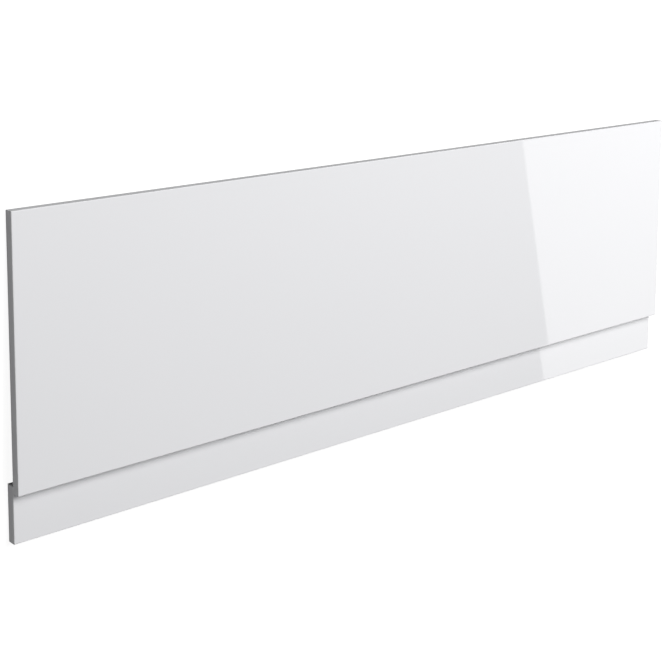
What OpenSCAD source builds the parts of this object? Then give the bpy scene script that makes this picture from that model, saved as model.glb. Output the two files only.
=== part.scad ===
// Two-piece bath front panel of foil-wrapped board: a main panel and a plinth lapped behind it.
// Both boards are drawn in the panel's own directions: X along its length, Y up towards the bath's rim
// and Z out of its front face, with Y = 0 at the main panel's bottom edge and Z = 0 on its front face.
// Then they are laid on their backs, as the panel lies by itself on a level floor, with +Z up.

/* [Boards] */
// Length of both boards, along the bath
length = 1700; // [1200:10:1800]
// Height of the main panel, from its bottom edge to the bath's rim
main_h = 472; // [360:1:600]
// Thickness of the main panel
main_t = 18; // [15:0.5:25]
// Height of the plinth, from the floor to its top edge
plinth_h = 100; // [60:1:200]
// Thickness of the plinth
plinth_t = 18; // [15:0.5:25]
// How far the plinth's top edge stands up behind the main panel
lap = 12; // [11:0.5:50]

/* [Edges] */
// Radius of the routed arris round each board's front face
arris_r = 1.5; // [0.5:0.1:4]

/* [Screws] */
// Number of screws along the lap
screw_count = 5; // [2:1:9]
// Distance from each end of the panel to the nearest screw
screw_inset = 50; // [20:1:150]
// Diameter of the screws' clearance holes in the plinth
clearance_d = 4.5; // [3.5:0.1:5.5]
// Diameter of the countersinks at the plinth's back face
countersink_d = 9; // [7:0.1:10]
// Diameter of the pilot holes in the back of the main panel
pilot_d = 2.8; // [2:0.1:3.3]
// How deep the screws go into the main panel
screw_bite = 12; // [6:0.5:13]

/* [Hidden] */
$fn = 48;
// How far each cutter runs past the face that it opens
past = 1;
// The main panel lies on its own top back arris and on the plinth's, so it slopes by this angle
tilt = atan(plinth_t / (main_h - lap));
// Height of the screws above the main panel's bottom edge: halfway up the lap
screw_y = lap / 2;
screw_pitch = (length - 2 * screw_inset) / (screw_count - 1);
screw_xs = [for (i = [0:screw_count - 1]) screw_inset - length / 2 + i * screw_pitch];

// Where a point [y, z] of the panel's cross-section comes to lie when the panel has tipped onto its back
function tipped(p) = [p[0] * cos(tilt) + p[1] * sin(tilt), p[1] * cos(tilt) - p[0] * sin(tilt)];

// The lowest line, and the two ends of the cross-section along the floor
floor_z = tipped([lap, -main_t - plinth_t])[1];
foot_end = tipped([lap - plinth_h, -main_t - plinth_t])[0];
rim_end = tipped([main_h - arris_r, -arris_r])[0] + arris_r;

// Lays the panel on its back, with the middle of its outline over the origin and its lowest line on the floor
module laid_down() {
    translate([0, -(foot_end + rim_end) / 2, -floor_z]) rotate([-tilt, 0, 0]) children();
}

// Cross-section of a board, w wide and t thick, with its front side on the X axis and both front corners round
module routed_section(w, t) {
    difference() {
        translate([-w / 2, -t]) square([w, t]);
        for (side = [-1, 1]) translate([side * (w / 2 - arris_r), -arris_r]) difference() {
            translate([side > 0 ? 0 : -arris_r - past, 0]) square([arris_r + past, arris_r + past]);
            circle(r = arris_r);
        }
    }
}

// A board with its front face up at Z = 0, centred on the Z axis. The router rounds the arris all the way
// round the face, so the two sections meet in a mitre at each corner.
module routed_board(l, h, t) {
    intersection() {
        rotate([90, 0, 90]) linear_extrude(l, center = true) routed_section(h, t);
        rotate([90, 0, 0]) linear_extrude(h, center = true) routed_section(l, t);
    }
}

// Blind pilot holes for the screws, in the back of the main panel
module pilot_holes() {
    for (x = screw_xs)
        translate([x, screw_y, -main_t - past]) cylinder(d = pilot_d, h = screw_bite + past);
}

// Countersunk clearance holes through the plinth's lap, with the countersinks at its back
module countersunk_holes() {
    sink = (countersink_d - clearance_d) / 2;
    for (x = screw_xs) translate([x, screw_y, -main_t - plinth_t]) {
        translate([0, 0, -past]) cylinder(d = clearance_d, h = plinth_t + 2 * past);
        translate([0, 0, -past]) cylinder(d1 = countersink_d + 2 * past, d2 = clearance_d, h = sink + past);
    }
}

module main_panel() {
    color("whitesmoke") laid_down() difference() {
        translate([0, main_h / 2, 0]) routed_board(length, main_h, main_t);
        pilot_holes();
    }
}

module plinth() {
    color("gainsboro") laid_down() difference() {
        translate([0, lap - plinth_h / 2, -main_t]) routed_board(length, plinth_h, plinth_t);
        countersunk_holes();
    }
}

main_panel();
plinth();
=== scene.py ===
import math

import bpy
from mathutils import Matrix, Vector


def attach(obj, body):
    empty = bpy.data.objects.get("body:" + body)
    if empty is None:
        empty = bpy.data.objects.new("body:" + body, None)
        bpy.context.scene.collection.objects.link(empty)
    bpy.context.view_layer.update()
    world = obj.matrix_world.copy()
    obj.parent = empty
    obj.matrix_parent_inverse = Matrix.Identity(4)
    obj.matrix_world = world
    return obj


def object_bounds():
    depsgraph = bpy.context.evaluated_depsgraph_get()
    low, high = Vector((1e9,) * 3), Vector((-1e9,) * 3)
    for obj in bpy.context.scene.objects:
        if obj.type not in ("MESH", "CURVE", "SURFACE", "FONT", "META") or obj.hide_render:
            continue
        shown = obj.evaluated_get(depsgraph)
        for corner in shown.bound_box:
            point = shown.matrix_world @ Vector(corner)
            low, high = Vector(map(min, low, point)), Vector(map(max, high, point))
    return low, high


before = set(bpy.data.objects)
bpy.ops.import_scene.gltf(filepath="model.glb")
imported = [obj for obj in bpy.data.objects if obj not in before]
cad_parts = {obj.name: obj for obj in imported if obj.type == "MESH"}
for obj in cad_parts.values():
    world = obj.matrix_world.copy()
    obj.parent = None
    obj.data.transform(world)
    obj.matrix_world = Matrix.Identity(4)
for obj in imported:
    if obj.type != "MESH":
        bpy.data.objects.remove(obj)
cad_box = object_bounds()

# The main panel is one board of MDF. White gloss foil is pressed over its face, its routed arrises and its
# edges, and is trimmed flush with the back, which is faced with satin white melamine. The lap with the plinth
# props one side up, so the panel slopes a little as it lies on its back.
board = 0.018
length = 1.7
main_h = 0.472
plinth_h = 0.1
lap = 0.012
slope = math.atan(board / (main_h - lap))
foil_thickness = 0.0004
melamine_thickness = 0.00015
arris_depth = 0.0006
flush_within = 0.00005
foil_cut_grey = (0.6, 0.6, 0.6, 1)
micrometre = 0.000001

# The panel's own directions, as it stands in use: X from its left end, Y up from the main panel's bottom edge
# and Z out of its face. The matrix takes such a place to where it lies.
tipped = Matrix.Rotation(-slope, 4, "X")
foot = tipped @ Vector((0, lap - plinth_h, -2 * board))
prop = tipped @ Vector((0, lap, -2 * board))
panel = Matrix.Translation((cad_box[0].x, cad_box[0].y - foot.y, cad_box[0].z - prop.z)) @ tipped


def join(tree, socket, value):
    """Links a socket to an input, or sets a plain value on it."""
    if isinstance(value, bpy.types.NodeSocket):
        tree.links.new(value, socket)
    else:
        socket.default_value = value


def maths(tree, operation, *values):
    """The result of a Math node on numbers or sockets."""
    made = tree.nodes.new("ShaderNodeMath")
    made.operation = operation
    for socket, value in zip(made.inputs, values):
        join(tree, socket, value)
    return made.outputs[0]


def vector_maths(tree, operation, *values):
    """The results of a Vector Math node on vectors or sockets: a vector and a number."""
    made = tree.nodes.new("ShaderNodeVectorMath")
    made.operation = operation
    for socket, value in zip(made.inputs, values):
        join(tree, socket, value)
    return made.outputs


def parts_of(tree, vector):
    """The three parts of a vector."""
    made = tree.nodes.new("ShaderNodeSeparateXYZ")
    join(tree, made.inputs[0], vector)
    return made.outputs


def between(tree, kind, share, low, high):
    """A value or a colour that goes from low to high as the share goes from 0 to 1."""
    mix = tree.nodes.new("ShaderNodeMix")
    mix.data_type = kind
    ending = {"FLOAT": "_Float", "RGBA": "_Color"}[kind]
    named = {socket.identifier: socket for socket in mix.inputs}
    join(tree, named["Factor_Float"], share)
    join(tree, named["A" + ending], low)
    join(tree, named["B" + ending], high)
    return next(socket for socket in mix.outputs if socket.identifier == "Result" + ending)


def new_group(name, inputs, outputs):
    """An empty node group with named sockets, and its inner input and output sockets."""
    tree = bpy.data.node_groups.new(name, "ShaderNodeTree")
    for label, kind in inputs.items():
        tree.interface.new_socket(label, in_out="INPUT", socket_type="NodeSocket" + kind)
    for label, kind in outputs.items():
        tree.interface.new_socket(label, in_out="OUTPUT", socket_type="NodeSocket" + kind)
    return tree, tree.nodes.new("NodeGroupInput").outputs, tree.nodes.new("NodeGroupOutput").inputs


def placed(tree, group, **values):
    """A node group in a material with its own values, named with an underscore for each space."""
    made = tree.nodes.new("ShaderNodeGroup")
    made.node_tree = group
    for label, value in values.items():
        join(tree, made.inputs[label.replace("_", " ")], value)
    return made.outputs


def board_layers():
    """Masks of what a board shows: its melamine back, the foil's cut edge round that and its raw core."""
    tree, given, to = new_group(
        "board layers",
        {
            "Place": "Vector",
            "Half size": "Vector",
            "Foil thickness": "Float",
            "Melamine thickness": "Float",
            "Arris depth": "Float",
        },
        {"Back": "Float", "Foil cut": "Float", "Core": "Float"},
    )
    from_middle = vector_maths(tree, "ABSOLUTE", given["Place"])["Vector"]
    depths = parts_of(tree, vector_maths(tree, "SUBTRACT", given["Half size"], from_middle)["Vector"])
    from_rim = maths(tree, "MINIMUM", depths["X"], depths["Y"])
    inward = maths(tree, "MINIMUM", from_rim, depths["Z"])
    below_middle = maths(tree, "LESS_THAN", parts_of(tree, given["Place"])["Z"], 0)
    on_surface = maths(tree, "LESS_THAN", depths["Z"], flush_within)
    on_back = maths(tree, "MULTIPLY", below_middle, on_surface)
    past_foil = maths(tree, "GREATER_THAN", from_rim, given["Foil thickness"])
    back = maths(tree, "MULTIPLY", on_back, past_foil)
    skin = between(tree, "FLOAT", below_middle, given["Arris depth"], given["Melamine thickness"])
    tree.links.new(back, to["Back"])
    tree.links.new(maths(tree, "SUBTRACT", on_back, back), to["Foil cut"])
    tree.links.new(maths(tree, "GREATER_THAN", inward, skin), to["Core"])
    return tree


def made_surface():
    """The unevenness of a made surface: patches of tone and sheen, a fine grain and a longer ripple."""
    tree, given, to = new_group(
        "made surface",
        {
            "Place": "Vector",
            "Light colour": "Color",
            "Dark colour": "Color",
            "Least roughness": "Float",
            "Most roughness": "Float",
            "Patch size": "Float",
            "Grain size": "Float",
            "Grain height": "Float",
            "Ripple size": "Float",
            "Ripple height": "Float",
        },
        {"Colour": "Color", "Roughness": "Float", "Height": "Float"},
    )
    noises = {}
    for label, detail in (("Patch", 3), ("Grain", 2), ("Ripple", 0)):
        noise = tree.nodes.new("ShaderNodeTexNoise")
        noise.inputs["Detail"].default_value = detail
        tree.links.new(given["Place"], noise.inputs["Vector"])
        tree.links.new(maths(tree, "DIVIDE", 1, given[label + " size"]), noise.inputs["Scale"])
        noises[label] = noise.outputs["Fac"]
    tone = between(tree, "RGBA", noises["Patch"], given["Dark colour"], given["Light colour"])
    sheen = between(tree, "FLOAT", noises["Patch"], given["Least roughness"], given["Most roughness"])
    grain = maths(tree, "MULTIPLY", noises["Grain"], given["Grain height"])
    tree.links.new(tone, to["Colour"])
    tree.links.new(sheen, to["Roughness"])
    tree.links.new(maths(tree, "MULTIPLY_ADD", noises["Ripple"], given["Ripple height"], grain), to["Height"])
    return tree


layers = board_layers()
surface = made_surface()


def new_finish(name):
    """A material, with its node tree and its Principled shader."""
    finish = bpy.data.materials.new(name)
    finish.use_nodes = True
    return finish, finish.node_tree, finish.node_tree.nodes["Principled BSDF"]


def relief(tree, height):
    """The normal of a surface with a relief of some micrometres."""
    bump = tree.nodes.new("ShaderNodeBump")
    bump.inputs["Distance"].default_value = micrometre
    tree.links.new(height, bump.inputs["Height"])
    return bump.outputs[0]


def dress(piece, finish):
    """Gives a piece one finish all over."""
    piece.data.materials.clear()
    piece.data.materials.append(finish)


def board_finish(name, low, high):
    """The finish of a board that lies between two opposite corners. Heights are in micrometres."""
    finish, tree, shader = new_finish(name)
    shader.inputs["IOR"].default_value = 1.5
    whole = tree.nodes.new("ShaderNodeTexCoord").outputs["Object"]

    # from the middle of the board, in the panel's own directions
    place = tree.nodes.new("ShaderNodeMapping")
    place.vector_type = "TEXTURE"
    place.inputs["Location"].default_value = panel @ ((low + high) / 2)
    place.inputs["Rotation"].default_value = panel.to_euler()
    tree.links.new(whole, place.inputs["Vector"])
    masks = placed(
        tree,
        layers,
        Place=place.outputs[0],
        Half_size=(high - low) / 2,
        Foil_thickness=foil_thickness,
        Melamine_thickness=melamine_thickness,
        Arris_depth=arris_depth,
    )

    foil = placed(
        tree,
        surface,
        Place=whole,
        Light_colour=(0.842, 0.844, 0.862, 1),
        Dark_colour=(0.834, 0.836, 0.855, 1),
        Least_roughness=0.028,
        Most_roughness=0.042,
        Patch_size=0.25,
        Grain_size=0.003,
        Grain_height=0.3,
        Ripple_size=0.045,
        Ripple_height=2.5,
    )
    melamine = placed(
        tree,
        surface,
        Place=whole,
        Light_colour=(0.82, 0.82, 0.81, 1),
        Dark_colour=(0.8, 0.8, 0.785, 1),
        Least_roughness=0.36,
        Most_roughness=0.46,
        Patch_size=0.12,
        Grain_size=0.0009,
        Grain_height=12,
        Ripple_size=0.03,
        Ripple_height=4,
    )
    core = placed(
        tree,
        surface,
        Place=whole,
        Light_colour=(0.5, 0.36, 0.22, 1),
        Dark_colour=(0.3, 0.2, 0.11, 1),
        Least_roughness=0.85,
        Most_roughness=0.95,
        Patch_size=0.0006,
        Grain_size=0.0004,
        Grain_height=60,
        Ripple_size=0.003,
        Ripple_height=40,
    )

    colour = between(tree, "RGBA", masks["Foil cut"], foil["Colour"], foil_cut_grey)
    colour = between(tree, "RGBA", masks["Back"], colour, melamine["Colour"])
    colour = between(tree, "RGBA", masks["Core"], colour, core["Colour"])
    layered = {}
    for label in ("Roughness", "Height"):
        value = between(tree, "FLOAT", masks["Back"], foil[label], melamine[label])
        layered[label] = between(tree, "FLOAT", masks["Core"], value, core[label])
    tree.links.new(colour, shader.inputs["Base Color"])
    tree.links.new(layered["Roughness"], shader.inputs["Roughness"])
    tree.links.new(relief(tree, layered["Height"]), shader.inputs["Normal"])
    return finish


main_finish = board_finish("main panel board", Vector((0, 0, -board)), Vector((length, main_h, 0)))
dress(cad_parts["main_panel"], main_finish)

# The plinth is a narrow board of the same make. It stands behind the main panel, with its face against the
# main panel's back, and carries it up off the floor.
plinth_low = Vector((0, lap - plinth_h, -2 * board))
plinth_high = Vector((length, lap, -board))
plinth_finish = board_finish("plinth board", plinth_low, plinth_high)
dress(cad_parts["plinth"], plinth_finish)

# Five chipboard screws of zinc-plated steel hold the boards together. They go in from behind, through the
# plinth's lap into the main panel, 400 mm apart, with their countersunk heads just below the plinth's back.
screw_xs = (0.05, 0.45, 0.85, 1.25, 1.65)
screw_y = lap / 2
head_depth = 0.0005
head_r = 0.004
shank_r = 0.00135
core_r = 0.00125
body_length = 0.0262
tip_length = 0.0033
screw_length = body_length + tip_length

# The turned profile: how far each ring is from the head's flat, and its radius
profile = (
    (0, head_r - 0.0002),  # head's flat
    (0.0001, head_r),  # its bevel
    (0.0003, head_r),  # its rim
    (0.0028, shank_r + 0.0001),  # its countersunk side
    (0.0034, shank_r),  # its neck
    (0.0112, shank_r),  # plain shank
    (0.0114, core_r),  # step down to the threaded core
    (body_length, core_r),
    (screw_length - 0.0002, core_r),
    (screw_length, core_r - 0.0001),  # end of the tip
)


def ring_extrude(distance, radius, next_radius):
    """Extrudes the selected end disc along the screw and gives it another radius."""
    bpy.ops.mesh.extrude_region_move(TRANSFORM_OT_translate={"value": (0, 0, distance)})
    share = next_radius / radius
    bpy.ops.transform.resize(value=(share, share, 1))


# The screw is modelled with its axis on Z, its head at the bottom and the start of its tip at the origin
bpy.ops.object.select_all(action="DESELECT")
bpy.ops.mesh.primitive_circle_add(
    vertices=24, radius=profile[0][1], fill_type="NGON", location=(0, 0, -body_length)
)
screw = bpy.context.active_object
bpy.ops.object.mode_set(mode="EDIT")
bpy.ops.mesh.select_all(action="SELECT")
for (here, radius), (there, next_radius) in zip(profile, profile[1:]):
    ring_extrude(there - here, radius, next_radius)
bpy.ops.mesh.select_all(action="SELECT")
bpy.ops.mesh.normals_make_consistent(inside=False)
bpy.ops.object.mode_set(mode="OBJECT")

# The cross recess is cut by two crossed blades that narrow towards its bottom
blade_span = 0.0044
blade_thickness = 0.00085
blade_height = 0.004
blade_narrowing = 0.35
recess_depth = 0.0025
blade_z = recess_depth - blade_height / 2 - body_length
for blade_turn in (0, math.pi / 2):
    bpy.ops.object.select_all(action="DESELECT")
    bpy.ops.mesh.primitive_cube_add(size=1, location=(0, 0, blade_z), rotation=(0, 0, blade_turn))
    blade = bpy.context.active_object
    bpy.ops.transform.resize(value=(blade_span, blade_thickness, blade_height), orient_type="LOCAL")
    bpy.ops.object.transform_apply(location=True, rotation=True, scale=True)
    bpy.ops.object.mode_set(mode="EDIT")
    bpy.ops.mesh.select_all(action="DESELECT")
    bpy.ops.object.mode_set(mode="OBJECT")
    for face in blade.data.polygons:
        face.select = face.normal.z > 0.9
    bpy.ops.object.mode_set(mode="EDIT")
    bpy.ops.transform.resize(value=(blade_narrowing, blade_narrowing, 1))
    bpy.ops.object.mode_set(mode="OBJECT")
    cut = screw.modifiers.new("cross recess", "BOOLEAN")
    cut.object = blade
    cut.operation = "DIFFERENCE"
    cut.solver = "EXACT"
    bpy.context.view_layer.objects.active = screw
    bpy.ops.object.modifier_apply(modifier=cut.name)
    bpy.data.objects.remove(blade)

# The thread is a sharp ridge wound round the shank, right-handed, with its root sunk into the shank
thread_r = 0.002
thread_root = 0.0002
thread_pitch = 0.0018
thread_turns = 10
thread_stop = 0.0004
tooth_flatness = 0.6
tooth_r = (thread_r - shank_r + thread_root) / 1.5
bpy.ops.object.select_all(action="DESELECT")
bpy.ops.mesh.primitive_circle_add(
    vertices=3, radius=tooth_r, location=(thread_r - tooth_r, 0, 0), rotation=(math.pi / 2, math.pi / 2, 0)
)
thread = bpy.context.active_object
bpy.ops.transform.resize(value=(1, 1, tooth_flatness))
bpy.ops.transform.translate(value=(0, 0, tip_length - thread_stop - thread_turns * thread_pitch))
bpy.ops.object.transform_apply(location=True, rotation=True, scale=True)
winding = thread.modifiers.new("winding", "SCREW")
winding.angle = 2 * math.pi
winding.screw_offset = thread_pitch
winding.iterations = thread_turns
winding.steps = winding.render_steps = 20
bpy.ops.object.modifier_apply(modifier=winding.name)
bpy.ops.object.mode_set(mode="EDIT")
bpy.ops.mesh.select_all(action="SELECT")
bpy.ops.mesh.fill_holes(sides=3)
bpy.ops.mesh.select_all(action="SELECT")
bpy.ops.mesh.normals_make_consistent(inside=False)
bpy.ops.object.mode_set(mode="OBJECT")
screw.select_set(True)
bpy.context.view_layer.objects.active = screw
bpy.ops.object.join()

# Shank and thread run out together to the point
point = screw.modifiers.new("point", "SIMPLE_DEFORM")
point.deform_method = "TAPER"
point.deform_axis = "Z"
point.factor = -0.93
point.limits = (body_length / screw_length, 1)
bpy.ops.object.transform_apply(location=True, rotation=True, scale=True)
bpy.ops.object.modifier_apply(modifier=point.name)
bpy.ops.object.shade_smooth_by_angle(angle=math.radians(32))

zinc, tree, shader = new_finish("zinc plate")
shader.inputs["Metallic"].default_value = 1
plate = placed(
    tree,
    surface,
    Place=tree.nodes.new("ShaderNodeTexCoord").outputs["Object"],
    Light_colour=(0.74, 0.75, 0.77, 1),
    Dark_colour=(0.6, 0.62, 0.66, 1),
    Least_roughness=0.22,
    Most_roughness=0.4,
    Patch_size=0.003,
    Grain_size=0.0003,
    Grain_height=3,
    Ripple_size=0.002,
    Ripple_height=4,
)
tree.links.new(plate["Colour"], shader.inputs["Base Color"])
tree.links.new(plate["Roughness"], shader.inputs["Roughness"])
tree.links.new(relief(tree, plate["Height"]), shader.inputs["Normal"])
dress(screw, zinc)

for count, x in enumerate(screw_xs, 1):
    copy = screw.copy()
    copy.data = screw.data.copy()
    copy.name = f"screw_{count}"
    bpy.context.collection.objects.link(copy)
    copy.data.transform(panel @ Matrix.Translation((x, screw_y, -2 * board + head_depth + body_length)))
    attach(copy, "root")
bpy.data.objects.remove(screw)

# The floor is plain and looks white: it glows for the camera and in the gloss. It glows a little less round
# the panel, so that the panel's soft shadow shows there. Gloss within 100 mm of it sees its true grey.
floor_side = 40
floor_grey = (0.2, 0.2, 0.2, 1)
close_by = 0.1
least_glow = 0.92
least_glow_to = 0.6
full_glow_from = 2.2


def largest(tree, first, *others):
    """The largest of some numbers or sockets."""
    for other in others:
        first = maths(tree, "MAXIMUM", first, other)
    return first


bpy.ops.object.select_all(action="DESELECT")
bpy.ops.mesh.primitive_plane_add(size=floor_side, location=(0, 0, cad_box[0].z))
floor = bpy.context.active_object
floor.name = "floor"
floor_paint, tree, shader = new_finish("floor paint")
shader.inputs["Base Color"].default_value = floor_grey
shader.inputs["Roughness"].default_value = 0.9
shader.inputs["Specular IOR Level"].default_value = 0
shader.inputs["Emission Color"].default_value = (1, 1, 1, 1)
ray = tree.nodes.new("ShaderNodeLightPath").outputs
far_off = maths(tree, "GREATER_THAN", ray["Ray Length"], close_by)
far_gloss = maths(tree, "MULTIPLY", ray["Is Glossy Ray"], far_off)
seen = largest(tree, ray["Is Camera Ray"], ray["Is Transmission Ray"], far_gloss)
reach = vector_maths(tree, "LENGTH", tree.nodes.new("ShaderNodeTexCoord").outputs["Object"])["Value"]
glow = tree.nodes.new("ShaderNodeMapRange")
glow.interpolation_type = "SMOOTHSTEP"
glow.inputs["From Min"].default_value = least_glow_to
glow.inputs["From Max"].default_value = full_glow_from
glow.inputs["To Min"].default_value = least_glow
glow.inputs["To Max"].default_value = 1
tree.links.new(reach, glow.inputs["Value"])
tree.links.new(maths(tree, "MULTIPLY", seen, glow.outputs["Result"]), shader.inputs["Emission Strength"])
dress(floor, floor_paint)

# The room is white all round, but gives little light. A large softbox past the rim's side lights the panel's
# face, a small one its left end, and a long low one its bottom edges. Three cards light nothing and show in
# the gloss alone: the right card's edge is the step across the face.
room_light = 0.075
world = bpy.data.worlds.new("white room")
bpy.context.scene.world = world
world.use_nodes = True
tree = world.node_tree
ray = tree.nodes.new("ShaderNodeLightPath").outputs
seen = largest(tree, ray["Is Camera Ray"], ray["Is Glossy Ray"], ray["Is Transmission Ray"])
strength = maths(tree, "MULTIPLY_ADD", seen, 1 - room_light, room_light)
tree.nodes["Background"].inputs["Color"].default_value = (1, 1, 1, 1)
tree.links.new(strength, tree.nodes["Background"].inputs["Strength"])


def softbox(name, middle, facing, size, radiance, turn=0):
    """A rectangular lamp at one place, in the panel's own directions, that faces another."""
    lamp = bpy.data.lights.new(name, "AREA")
    lamp.shape = "RECTANGLE"
    lamp.size, lamp.size_y = size
    lamp.energy = radiance * math.pi * size[0] * size[1]
    box = bpy.data.objects.new(name, lamp)
    aim = (facing - middle).to_track_quat("-Z", "Y").to_matrix().to_4x4()
    box.matrix_world = panel @ Matrix.Translation(middle) @ aim @ Matrix.Rotation(turn, 4, "Z")
    box.visible_camera = False
    bpy.context.collection.objects.link(box)
    return box


key = softbox("key softbox", Vector((1.85, 3.15, 4.6)), Vector((0.85, 0.2, 0)), (3.3, 3.5), 9.55)
end_fill = softbox("end fill", Vector((-3, 0.3, 0.3)), Vector((0, 0.2, 0)), (1.4, 0.5), 5.9)
softbox("edge fill", Vector((0.85, -3, 0.05)), Vector((0.85, 0, 0)), (4.4, 0.3), 2.1)
key.visible_glossy = end_fill.visible_glossy = False
for name, middle, degrees, size, radiance in (
    ("right card", Vector((2.491, 0, 0.57)), 12.1, (1.1, 1.15), 1.8),
    ("far right card", Vector((3.925, -1.706, 0.8)), 11.9, (1.2, 1.6), 0.3),
    ("left card", Vector((-1.29, 1.27, 0.7)), 14.2, (1.2, 1.4), 0.65),
):
    card = softbox(name, middle, middle - Vector((0, 0, 1)), size, radiance, math.radians(degrees))
    card.visible_diffuse = False

# The camera looks at the panel as the photograph does. The picture is framed with some vertical shift, which
# keeps the panel's ends nearly upright in it.
picture_px = 665
focal_px = 1396.1
sensor_mm = 36
eye = Vector((-1.0311, 0.9109, 1.9719))
yaw = math.radians(40.78)
pitch = math.radians(7.37)
roll = math.radians(0.23)
camera = bpy.data.objects.new("camera", bpy.data.cameras.new("camera"))
camera.data.sensor_width = sensor_mm
camera.data.lens = focal_px / picture_px * sensor_mm
camera.data.shift_y = -0.33
look = Matrix.Rotation(-yaw, 4, "Y") @ Matrix.Rotation(-pitch, 4, "X") @ Matrix.Rotation(roll, 4, "Z")
camera.matrix_world = panel @ Matrix.Translation(eye) @ look
bpy.context.collection.objects.link(camera)
bpy.context.scene.camera = camera
bpy.context.scene.view_settings.view_transform = "Standard"
